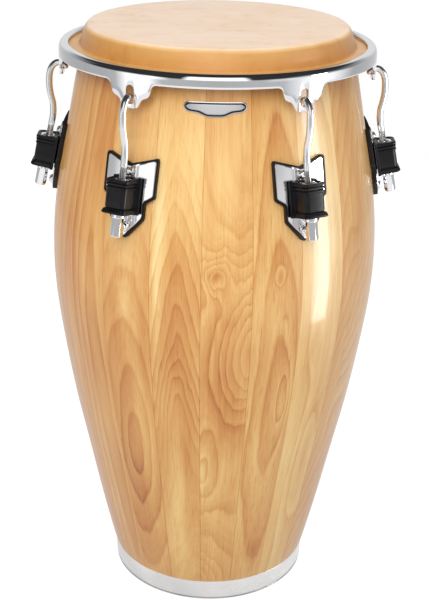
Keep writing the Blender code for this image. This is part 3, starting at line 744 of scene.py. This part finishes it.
# Looks of the staves: where the eye lies, its ring widths across and along, its lean, how its
# field climbs, and how blunt its core is; then bumps and patches, all in metres
SEEN_LOOKS = {
    1: {"eye": (0.03, 0.2, 0.016, 0.5, 0.02, 2.5, 0.5), "tone": 0.46, "contrast": 0.24},
    2: {
        "eye": (0.01, 0.27, 0.0125, 0.26, 0.0, -0.2, 0.15), "tone": 0.36, "contrast": 0.36,
        "patches": [(-0.022, 0.52, 0.007, 0.1, 0.18), (0.01, 0.62, 0.012, 0.05, 0.16)],
    },
    3: {
        "eye": (-0.003, 0.235, 0.0115, 0.054, 0.01, -2.4, 0.2), "tone": 0.34, "contrast": 0.48,
        "patches": [
            (0.000, 0.44, 0.009, 0.035, -0.2), (0.024, 0.4, 0.006, 0.1, 0.14),
            (-0.004, 0.22, 0.012, 0.16, 0.2), (0.006, 0.55, 0.014, 0.05, -0.1)],
        "band": (0.24, 0.2), "light": -0.06,
    },
    4: {
        "eye": (0.0, 0.549, 0.0106, 0.0, -0.03, 23.0, 0.35), "tone": 0.3, "contrast": 0.52,
        "bumps": [(-0.004, 0.3, 0.014, 0.07, -1.8), (0.004, 0.12, 0.014, 0.08, 1.6)],
        "patches": [
            (-0.021, 0.49, 0.007, 0.08, -0.26), (-0.004, 0.115, 0.012, 0.085, -0.16),
            (0.012, 0.24, 0.012, 0.12, 0.2), (0.004, 0.38, 0.014, 0.06, 0.18),
            (0.000, 0.49, 0.012, 0.05, 0.12)],
        "band": (0.4, 0.14), "light": -0.16,
    },
    5: {
        "eye": (0.02, 0.62, 0.024, 0.13, 0.0, -3.0, 0.4), "tone": 0.29, "contrast": 0.48,
        "bumps": [
            (-0.011, 0.487, 0.0165, 0.021, 3.4), (0.034, 0.4, 0.044, 0.095, 7.6),
            (-0.022, 0.212, 0.018, 0.05, -2.2), (-0.024, 0.03, 0.024, 0.05, 2.8)],
        "patches": [
            (-0.011, 0.487, 0.006, 0.006, 0.34), (-0.0235, 0.212, 0.01, 0.034, -0.26),
            (0.004, 0.44, 0.014, 0.012, 0.12), (0.000, 0.31, 0.02, 0.07, 0.16),
            (0.008, 0.15, 0.016, 0.08, -0.04)],
        "band": (0.32, 0.24), "light": 0.0,
    },
    6: {
        "eye": (0.004, 0.3, 0.014, 0.12, 0.0, 0.0, 0.5), "tone": 0.28, "contrast": 0.42,
        "bumps": [(0.0175, 0.312, 0.0075, 0.05, -2.0), (0.0036, 0.486, 0.006, 0.012, 1.1)],
        "patches": [
            (0.0036, 0.486, 0.005, 0.009, 0.14), (0.0105, 0.4228, 0.0035, 0.005, 0.26),
            (0.004, 0.085, 0.011, 0.02, 0.2), (0.017, 0.33, 0.003, 0.028, 0.12),
            (0.000, 0.2, 0.016, 0.1, -0.06)],
        "pores": 0.2, "light": -0.06,
    },
    7: {
        "eye": (-0.055, 0.3, 0.03, 0.22, 0.06, 2.0, 0.5), "tone": 0.13, "contrast": 0.3,
        "bumps": [(0.008, 0.2, 0.014, 0.09, 1.6), (-0.006, 0.4, 0.01, 0.05, 0.8)],
        "patches": [(0.014, 0.3, 0.008, 0.12, 0.1)], "light": -0.12,
    },
    8: {
        "eye": (0.06, 0.45, 0.017, 0.0, 0.0, 24.0, 0.3), "tone": 0.36, "contrast": 0.26,
        "bumps": [(-0.004, 0.3, 0.02, 0.07, -1.6), (0.008, 0.5, 0.016, 0.05, 1.4)],
    },
}


def hidden_look(number):
    """A look for a stave that the photograph doesn't show, of the same wood."""
    t = number * 0.618034 % 1.0
    q = number * 0.381966 % 1.0
    kind = number % 3
    if kind == 0:  # arches that open downwards
        eye = (lerp(-0.01, 0.01, t), lerp(0.45, 0.62, q), 0.0108, 0.0, lerp(-0.03, 0.03, q),
               lerp(16, 24, t), 0.35)
    elif kind == 1:  # a long eye
        eye = (lerp(-0.008, 0.01, q), lerp(0.22, 0.5, t), 0.012, lerp(0.06, 0.12, q), 0.0,
               lerp(-2, 2, t), 0.25)
    else:  # nearly straight
        eye = (lerp(0.05, 0.08, t), 0.35, 0.019, 0.0, 0.0, lerp(14, 26, q), 0.4)
    look = {"eye": eye, "tone": lerp(0.28, 0.42, q), "contrast": lerp(0.24, 0.42, t)}
    if number % 2:
        look["band"] = (lerp(0.15, 0.55, q), 0.2)
    if number % 5 == 0:
        look["bumps"] = [(lerp(-0.014, 0.014, q), lerp(0.2, 0.6, t), 0.012, 0.016, 2.8)]
    return look


# Pieces


def stave_joints():
    first, last = SEEN_JOINTS_DEG[0], SEEN_JOINTS_DEG[-1]
    hidden = STAVES - len(SEEN_JOINTS_DEG) + 1
    width = (360 - (last - first)) / hidden
    rest = [last + width * (k + 1) for k in range(hidden)]
    return [math.radians(a) for a in SEEN_JOINTS_DEG + rest]


def stave_profile():
    """Points of the wall's section as (radius, height, depth in the wood)."""
    foot, top = SHELL_SECTIONS[0][0], SHELL_SECTIONS[-1][0]
    rebate = 2.1 * MM
    bottom = 3.1 * MM
    outside = [
        (FOOT_RADIUS - rebate, bottom, 0.0), (BAND_TOP_RADIUS - rebate, foot - 0.3 * MM, 0.0)]
    for k in range(OUTSIDE_LEVELS + 1):
        height = lerp(foot, top, k / OUTSIDE_LEVELS)
        outside.append((shell_radius(height), height, 0.0))
    outside[2] = (outside[2][0], foot, 0.0)
    crest = [
        (0.15595, 0.7205, 1 * MM), (0.15385, 0.7241, 3 * MM), (0.152, 0.7256, 5 * MM),
        (0.14985, 0.7263, 7 * MM), (0.14755, 0.726, 9 * MM),
    ]
    inside = []
    for k in range(INSIDE_LEVELS + 1):
        height = lerp(0.69, 0.06, k / INSIDE_LEVELS)
        inside.append((shell_radius(height) - WALL, height, WALL))
    inside.append((FOOT_RADIUS - rebate - WALL + 1.6 * MM, bottom, WALL))
    return outside + crest + inside


def make_stave(number, start, end, material):
    profile = stave_profile()
    middle = (start + end) / 2
    columns = [(start, 1, True), (start, 1, False)]
    columns += [(lerp(start, end, k / STAVE_COLUMNS), 0, False) for k in range(1, STAVE_COLUMNS)]
    columns += [(end, -1, False), (end, -1, True)]
    loops, grain = [], []
    for azimuth, side, at_joint in columns:
        trim = side * (JOINT_GAP / 2 + (0.0 if at_joint else JOINT_ROUNDING))
        shift = Vector((math.cos(azimuth), math.sin(azimuth), 0)) * trim
        loop = []
        for radius, height, depth in profile:
            inset = JOINT_ROUNDING if at_joint and depth == 0.0 else 0.0
            loop.append(around(azimuth, radius - inset, height) + shift)
            grain.append(((azimuth - middle) * radius + trim, height, depth))
        loops.append(loop)
    bm = bmesh.new()
    layer = bm.verts.layers.float_vector.new("grain")
    rows = skin(bm, loops)
    for vert, value in zip((v for row in rows for v in row), grain):
        vert[layer] = value
    item = add(f"wood_stave_{number:02d}", to_mesh(bm, 30), material)
    piece(item, "drum", f"stave_{number:02d}")


def piece(item, body, node=None):
    """Let a piece ride and stand for its CAD node."""
    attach(item, body)
    if node:
        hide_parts(node)


def make_shell():
    joints = stave_joints()
    for number, (start, end) in enumerate(zip(joints, joints[1:]), 1):
        look = SEEN_LOOKS.get(number) or hidden_look(number)
        make_stave(number, start, end, wood_material(f"wood_{number:02d}", look, number))


def make_base_ring(material):
    profile = [(FOOT_RADIUS + past * MM, height * MM) for past, height in FOOT_SECTION]
    mesh = turned(profile, smooth_deg=60)
    piece(add("foot_band", mesh, material), "drum", "base_ring")


def make_head(hide, steel):
    outside = [(SKIN_FLAT_RADIUS * k / 6, HEAD_TOP) for k in range(6)] + smooth_line(SKIN_EDGE, 4)
    inside = SKIN_LINING + [(0.0, HEAD_TOP - 1.3 * MM)]
    mesh = turned(outside + SKIN_LEDGE + inside, closed=False)
    piece(add("drumhead", mesh, hide), "drum", "skin_head")
    piece(add("hoop_ring", turned(HOOP_SECTION), steel), "drum", "flesh_hoop")


def rim_columns():
    """Azimuth of every column of the rim, with the height of its lower edge."""
    ear = half_outline(smooth_line(EAR_OUTLINE, 3))
    reach = EAR_OUTLINE[-1][0] / RIM_RADIUS
    plain = math.radians(LUG_AZIMUTHS_DEG[1] - LUG_AZIMUTHS_DEG[0]) - 2 * reach
    steps = 26
    columns = []
    for lug in LUG_AZIMUTHS_DEG:
        middle = math.radians(lug)
        columns += [(middle + across / RIM_RADIUS, low) for across, low in ear]
        columns += [
            (middle + reach + plain * k / steps, RIM_BAND_BOTTOM) for k in range(1, steps)]
    return columns


def make_rim(material):
    shoulder = smooth_line(RIM_SHOULDER, 3)
    loops = []
    for azimuth, low in rim_columns():
        section = [(RIM_RADIUS, low), (RIM_RADIUS, lerp(low, shoulder[0][1], 0.5))] + shoulder
        section += [(RIM_INNER, lerp(low, shoulder[-1][1], 0.5)), (RIM_INNER, low)]
        loops.append([around(azimuth, radius, height) for radius, height in section])
    rim = loft(loops, closed=True)
    half = SLOT_WIDTH / 2
    outline = []
    for centre, first in ((SLOT_TOP - half, 0.0), (SLOT_BOTTOM + half, math.pi)):
        for k in range(SLOT_ARC_STEPS + 1):
            angle = first + math.pi * k / SLOT_ARC_STEPS
            outline.append((half * math.cos(angle), centre + half * math.sin(angle)))
    bars = bmesh.new()
    for lug in LUG_AZIMUTHS_DEG:
        turn = Matrix.Rotation(math.radians(lug), 3, "Z")
        skin(bars, [
            [turn @ Vector((x, -radius, z)) for x, z in outline]
            for radius in (RIM_RADIUS - 9 * MM, RIM_RADIUS + 6 * MM)])
    rim = bevelled(cut(rim, to_mesh(bars, 30)), 0.15 * MM, 55)
    piece(add("counterhoop", rim, material), "drum", "rim")


def hook_mesh():
    """Round bar with a thread on its lower end, bent over at its top, with a rounded tip."""
    bend = smooth_path([(0.0, -y * MM, z * MM) for y, z in HOOK_PATH], 5)
    step = THREAD_PITCH / 4
    threaded = round((THREAD_TOP - ROD_BOTTOM) / step)
    low = [Vector((0, 0, ROD_BOTTOM + step * k)) for k in range(threaded + 1)]
    high = [point for point in bend if point.z > THREAD_TOP + MM or point.y < -MM]
    tip_way = (high[-1] - high[-2]).normalized()
    tip = [high[-1] + tip_way * (reach * MM) for reach, _ in HOOK_TIP]
    path = [low[0] - Vector((0, 0, 0.5 * MM))] + low + [low[-1] + Vector((0, 0, 0.4 * MM))]
    straight = len(path)
    path += high + tip
    tip_from = len(path) - len(tip)
    taper_from = tip_from - TAPER_STEPS
    last = len(path) - 1
    side = Vector((1, 0, 0))

    def radius_at(k, travelled, angle):
        if k == 0:
            return ROD_RADIUS - 1.0 * MM
        if k <= threaded + 1:
            turn = (travelled / THREAD_PITCH + angle / (2 * math.pi)) % 1.0
            return ROD_RADIUS - THREAD_DEPTH * abs(2 * turn - 1)
        if k < straight or k < taper_from:
            return ROD_RADIUS
        if k < tip_from:
            return ROD_RADIUS * lerp(1.0, TIP_SCALE, (k - taper_from) / TAPER_STEPS)
        return ROD_RADIUS * TIP_SCALE * HOOK_TIP[k - tip_from][1]

    loops = []
    travelled = 0.0
    for k, point in enumerate(path):
        if k:
            travelled += (point - path[k - 1]).length
        up = side.cross((path[min(k + 1, last)] - path[max(k - 1, 0)]).normalized())
        loops.append([
            point + (side * math.cos(a) + up * math.sin(a)) * radius_at(k, travelled, a)
            for a in turns(HOOK_SIDES)])
    return loft(loops, smooth_deg=40)


def nut_mesh():
    """Long hexagonal nut, chamfered, with a round collar at its top."""
    loops = []
    for levels, flats in ((NUT_COLLAR, False), (NUT_HEXAGON, True), (NUT_END, False)):
        for height, radius in levels:
            loop = []
            for angle in turns(NUT_SIDES):
                reach = min(hexagon_radius(NUT_APOTHEM, angle), radius) if flats else radius
                loop.append(Vector((reach * math.cos(angle), reach * math.sin(angle), height)))
            loops.append(loop)
    return loft_mm(loops, 24)


def receiver_section(height, grow):
    """One level of the receiver, seen from above: from the flange round the front and back."""
    half = RECEIVER_HALF_WIDTH + grow
    front = RECEIVER_FRONT + grow
    corner = RECEIVER_CORNER
    back = RECEIVER_BACK
    flange = FLANGE_HALF_WIDTH
    right = [
        (11.6, back), (11.9, back - 1.5), (flange - 0.4, back - 1.5), (flange, back - 1.1),
        (flange, back + 1.1), (flange - 0.5, back + 1.6), (half + 0.9, back + 1.8),
        (half + 0.25, back + 2.1), (half, back + 2.9),
    ]
    for k in range(7):
        angle = math.pi / 2 * k / 6
        right.append((
            half - corner + corner * math.cos(angle), front - corner + corner * math.sin(angle)))
    outline = right + [(-x, y) for x, y in reversed(right)]
    return [Vector((x, -y, height)) for x, y in outline]


def inner_section(height, inset, clear):
    """The section drawn in, with its back kept clear of the receiver's, and its top tilted."""
    reach = RECEIVER_HALF_WIDTH - inset
    loop = receiver_section(height, -inset)
    for point in loop:
        point.x = max(-reach, min(reach, point.x))
        point.y = min(point.y, -(RECEIVER_BACK + clear))
    return tilted(loop)


def tilted(loop):
    """Raise a loop towards the shell, as the receiver's top rises."""
    for point in loop:
        from_front = (RECEIVER_FRONT + point.y) / (RECEIVER_FRONT - RECEIVER_BACK)
        point.z += RECEIVER_TOP_RISE * max(0.0, from_front)
    return loop


def round_section(height, radius):
    """A circle with as many points as the receiver's section."""
    angles = turns(len(receiver_section(height, 0.0)), 0.5)
    return [Vector((radius * math.sin(a), radius * math.cos(a), height)) for a in angles]


def receiver_mesh():
    """Ribbed block with a flared foot, a sunken top and a bore for the rod."""
    bottom, top = RECEIVER_LEVELS[0][0], RECEIVER_LEVELS[-1][0]
    floor = top - RECEIVER_RECESS
    loops = [receiver_section(height, grow) for height, grow in RECEIVER_LEVELS]
    for loop in loops[-2:]:
        tilted(loop)
    for height, inset in ((top + 0.15, 1.9), (top - 0.1, 2.4), (floor, 2.7)):
        loops.append(inner_section(height, inset, 4.0))
    loops += [round_section(height, RECEIVER_BORE) for height in (floor, bottom)]
    return loft_mm(loops, 38)


def insert_mesh():
    """Metal plate in the receiver's top, with a raised ring round the rod's hole."""
    top = RECEIVER_LEVELS[-1][0]
    loops = [
        inner_section(top + height, 2.3 + inset, 4.2 + inset)
        for height, inset in ((-2.4, 0.4), (-0.9, 0.4), (-0.5, 0.8))]
    ring = [(0.2, 7.4), (0.9, 7.0), (1.1, 6.4), (1.0, 5.2), (0.6, 4.7), (-2.4, 4.6)]
    loops += [round_section(top + height, radius) for height, radius in ring]
    return loft_mm(loops, 40)


def bolt_mesh(height):
    """A bolt along the shell's normal, with a washer, a domed head and a hexagon socket."""
    base = on_shell(0.0, height, 0.0)
    out = (on_shell(0.0, height, 1.0) - base).normalized()
    side = Vector((1, 0, 0))
    up = out.cross(side)

    def ring(standoff, radius_at):
        return [
            base + out * (standoff * MM)
            + (side * math.cos(a) + up * math.sin(a)) * (radius_at(a) * MM)
            for a in turns(BOLT_SIDES)]

    loops = [ring(standoff, lambda a: radius) for standoff, radius in BOLT_SECTION]
    for standoff in SOCKET_STANDOFFS:
        loops.append(ring(standoff, lambda a: hexagon_radius(SOCKET_APOTHEM, a)))
    return loft(loops, smooth_deg=35)


def strip_mesh():
    """Backing strip inside the shell."""
    top, bottom = ([(0.0, height), (STRIP_HALF_WIDTH, height)] for height in STRIP_HEIGHTS)
    strip = curved_plate(top, bottom, STRIP_BACK, [(0.0, STRIP_FRONT)], 2.3 * MM, 10)
    return bevelled(strip, 0.4 * MM)


def drawn_in(points, border, shift):
    """An outline's half drawn in by a border. Shift is +1 for a lower edge, -1 for an upper."""
    return [(max(x - border, 0.0), z + shift * border * SLANT) for x, z in points]


def drawn_in_tray(border):
    return drawn_in(GASKET_TOP, border, -1), drawn_in(GASKET_BOTTOM, border, 1)


def tray_mesh():
    """Rubber tray: a border stands up round the pocket that the plate lies in."""
    tray = curved_plate(GASKET_TOP, GASKET_BOTTOM, GASKET_BACK, [(0.0, GASKET_RIM)])
    edges = drawn_in_tray(GASKET_BORDER - 0.15 * MM)
    pocket = curved_plate(*edges, GASKET_FLOOR, [(0.0, 9 * MM)])
    return bevelled(cut(tray, pocket), 0.5 * MM)


def plate_mesh():
    """Side plate with a raised channel down its middle."""
    plate = curved_plate(*drawn_in_tray(GASKET_BORDER), PLATE_BACK, PLATE_RELIEF)
    return bevelled(plate, 0.4 * MM)


def make_lugs(rubber, block, chrome, plate_chrome, rod_chrome, steel):
    low, high = BOLT_HEIGHTS
    # Name, mesh, material, slot, CAD node and body of what is made over the shell
    over_shell = [
        ("tray", tray_mesh(), rubber, "rubber", "gasket", "drum"),
        ("plate", plate_mesh(), plate_chrome, "chrome", "side_plate", "drum"),
        ("strip", strip_mesh(), steel, "steel", "mounting_bolts", "drum"),
        ("bolt_low", bolt_mesh(low), chrome, "steel", None, "drum"),
        ("bolt_high", bolt_mesh(high), chrome, "steel", None, "drum"),
    ]
    on_rod = [
        ("receiver_block", receiver_mesh(), block, "receiver_rubber", "receiver", "drum"),
        ("insert", insert_mesh(), chrome, "chrome", None, "drum"),
        ("hook_rod", hook_mesh(), rod_chrome, "chrome", "tension_hook", "hook"),
        ("long_nut", nut_mesh(), chrome, "chrome", "tuning_nut", "nut"),
    ]
    for number, azimuth_deg in enumerate(LUG_AZIMUTHS_DEG, 1):
        lug = Matrix.Rotation(math.radians(azimuth_deg), 4, "Z")
        rod = lug @ Matrix.Translation((0, -ROD_ORIGIN_RADIUS, ROD_ORIGIN_HEIGHT))
        rod = rod @ Matrix.Rotation(-math.radians(ROD_TILT_DEG), 4, "X")
        for frame, rows in ((lug, over_shell), (rod, on_rod)):
            for name, mesh, material, slot, node, body in rows:
                item = add(f"{name}_{number}", mesh.copy(), material, frame)
                piece(
                    item, body if body == "drum" else f"{body}_{number}",
                    node and f"{node}_{number}")


def badge_plate(name, border, back, front, material):
    """A bare plate with a straight top, rounded ends and a bow-shaped bottom."""
    half = BADGE_TOP_EDGE[-1][0]
    narrow = (half - border) / half
    top = [(x * narrow, z - border) for x, z in smooth_line(BADGE_TOP_EDGE, 3)]
    bottom = [(x * narrow, z + border) for x, z in smooth_line(BADGE_BOTTOM_EDGE, 3)]
    bottom[-1] = (bottom[-1][0], min(bottom[-1][1], top[-1][1] - 0.2 * MM))
    mesh = bevelled(curved_plate(top, bottom, back, [(0.0, front)], 1.5 * MM, 8), 0.25 * MM)
    turn = Matrix.Rotation(BADGE_MIDDLE / shell_radius(BADGE_LEVEL), 4, "Z")
    piece(add(name, mesh, material, turn), "drum")


# Studio


def make_floor():
    """White floor that keeps a faint shadow of the drum."""
    s = Shader("floor_white")
    s.nodes.remove(s.surface)
    path = s.nodes.new("ShaderNodeLightPath").outputs
    camera = path["Is Camera Ray"]
    seen = s.math("MAXIMUM", camera, path["Is Glossy Ray"])
    seen = s.math("MAXIMUM", seen, path["Is Transmission Ray"])
    diffuse = s.nodes.new("ShaderNodeBsdfDiffuse")
    s.put(diffuse.inputs["Color"], s.mixed(seen, FLOOR_GREY, FLOOR_SEEN_GREY))
    glow = s.nodes.new("ShaderNodeEmission")
    glow.inputs["Color"].default_value = WHITE
    s.put(glow.inputs["Strength"], s.scale(camera, 0.25, s.scale(seen, 0.55)))
    both = s.nodes.new("ShaderNodeAddShader")
    s.put(both.inputs[0], diffuse.outputs[0])
    s.put(both.inputs[1], glow.outputs[0])
    s.put(s.nodes["Material Output"].inputs["Surface"], both.outputs[0])
    edge = [around(angle, FLOOR_RADIUS, 0.0) for angle in turns(FLOOR_SIDES)]
    mesh = bpy.data.meshes.new("floor")
    mesh.from_pydata(edge, [], [list(range(FLOOR_SIDES))])
    add("floor", mesh, s.material)


def above(w, angle, edge, soft):
    """0 below an edge, 1 above it, and soft degrees wide between."""
    return w.math("MULTIPLY_ADD", angle, 1 / soft, 0.5 - edge / soft, clamp=True)


def between(w, angle, low, high, soft):
    """1 between two edges, and soft degrees wide at each."""
    outside = above(w, angle, high, soft)
    return w.math("MULTIPLY", above(w, angle, low, soft), w.math("SUBTRACT", 1.0, outside))


def make_world():
    """White to the camera and even for matt surfaces.

    Glossy ones see a studio: pale walls low down, whiter behind the drum, panels, a dark ceiling.
    """
    world = bpy.data.worlds.new("studio")
    bpy.context.scene.world = world
    world.use_nodes = True
    w = Nodes(world.node_tree)
    w.nodes.clear()
    way = w.split(w.nodes.new("ShaderNodeTexCoord").outputs["Generated"])
    backward = w.math("MULTIPLY", way[1], -1.0)
    azimuth = w.math("DEGREES", w.math("ARCTAN2", way[0], backward))
    elevation = w.math("DEGREES", w.math("ARCSINE", way[2]))
    aside = w.math("ABSOLUTE", azimuth)

    wall = w.ramp(
        w.math("DIVIDE", aside, 180.0), [(angle / 180.0, grey) for angle, grey in WALL_LEVELS])
    low_down = w.math("SUBTRACT", 1.0, above(w, elevation, 27.0, 16.0))
    backdrop = w.math("MULTIPLY", above(w, aside, 128.0, 60.0), low_down)
    ceiling = w.scale(backdrop, 0.72, 0.03)
    high = above(w, elevation, 7.0, 6.0)
    grey = w.scale(w.math("SUBTRACT", ceiling, wall), high, wall)
    for left, right, bottom, top, soft, more in PANELS:
        across = between(w, azimuth, left, right, soft)
        inside = w.math("MULTIPLY", across, between(w, elevation, bottom, top, soft))
        grey = w.scale(inside, more, grey)
    path = w.nodes.new("ShaderNodeLightPath").outputs
    shiny = w.math("MAXIMUM", path["Is Glossy Ray"], path["Is Transmission Ray"])
    grey = w.scale(w.math("SUBTRACT", grey, WORLD_LEVEL), shiny, WORLD_LEVEL)
    background = w.nodes.new("ShaderNodeBackground")
    background.inputs["Color"].default_value = WHITE
    w.put(background.inputs["Strength"], w.math("MAXIMUM", grey, path["Is Camera Ray"]))
    w.put(w.nodes.new("ShaderNodeOutputWorld").inputs[0], background.outputs[0])


def softbox(name, at, towards, size, radiance, diffuse=True, glossy=True, roll_deg=0.0):
    """A rectangular lamp of an even brightness, facing a point."""
    light = bpy.data.lights.new(name, "AREA")
    light.shape = "RECTANGLE"
    light.size, light.size_y = size
    light.energy = radiance * math.pi * size[0] * size[1]
    item = linked(name, light)
    item.location = at
    facing = (Vector(towards) - Vector(at)).to_track_quat("-Z", "Y").to_matrix()
    item.rotation_euler = (facing @ Matrix.Rotation(math.radians(roll_deg), 3, "Z")).to_euler()
    item.visible_camera = False
    item.visible_diffuse = diffuse
    item.visible_glossy = glossy


def make_lights():
    softbox("key", (-0.5, -2.5, 2.2), LAMPS_FACE, (1.8, 1.5), 5.0, glossy=False)
    softbox("top", (0.4, -0.7, 2.9), LAMPS_FACE, (1.6, 1.6), 1.2, glossy=False)
    softbox("back", (1.0, 2.3, 1.9), LAMPS_FACE, (1.8, 1.4), 2.6, glossy=False)
    softbox(
        "strip", (0.79, -0.29, 0.43), (0.12, -0.17, 0.43), (0.18, 0.77), 12.0, diffuse=False,
        roll_deg=6.0)


def make_camera():
    camera = bpy.data.cameras.new("camera")
    camera.lens = FOCAL_PIXELS * camera.sensor_width / max(IMAGE)
    turn = Matrix.Rotation(math.radians(CAMERA_YAW_DEG), 4, "Z")
    turn = turn @ Matrix.Rotation(math.radians(90 + CAMERA_PITCH_DEG), 4, "X")
    turn = turn @ Matrix.Rotation(math.radians(CAMERA_ROLL_DEG), 4, "Z")
    item = linked("camera", camera)
    item.matrix_world = Matrix.Translation(CAMERA_AT) @ turn
    bpy.context.scene.camera = item


def main():
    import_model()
    bpy.context.scene.view_settings.view_transform = "Standard"
    make_camera()
    make_world()
    make_lights()
    make_floor()

    chrome = chrome_material("chrome_looks", (0.91, 0.92, 0.95))
    plate_chrome = chrome_material("plate_chrome_looks", (0.92, 0.92, 0.94), 0.1, 0.1)
    rod_chrome = chrome_material("rod_chrome_looks", (0.88, 0.88, 0.89), 0.22, 0.08)
    satin = satin_material()
    steel = steel_material()
    rubber = rubber_material("tray_rubber_looks", (0.007, 0.005, 0.005), (0.014, 0.01, 0.009), 0.5)
    block = rubber_material(
        "block_looks", (0.004, 0.004, 0.005), (0.009, 0.008, 0.01), 0.34, 1100.0, 0.1)
    field = chrome_material("badge_field_looks", (0.66, 0.66, 0.67), 0.26, 0.08)
    hide = hide_material()

    make_shell()
    make_base_ring(satin)
    make_head(hide, steel)
    make_rim(chrome)
    make_lugs(rubber, block, chrome, plate_chrome, rod_chrome, steel)
    badge_plate("badge_border", 0.0, 0.15 * MM, 1.7 * MM, chrome)
    badge_plate("badge_line", 1.0 * MM, 1.0 * MM, 1.85 * MM, rubber)
    badge_plate("badge_field", 2.6 * MM, 1.2 * MM, 2.1 * MM, field)


main()
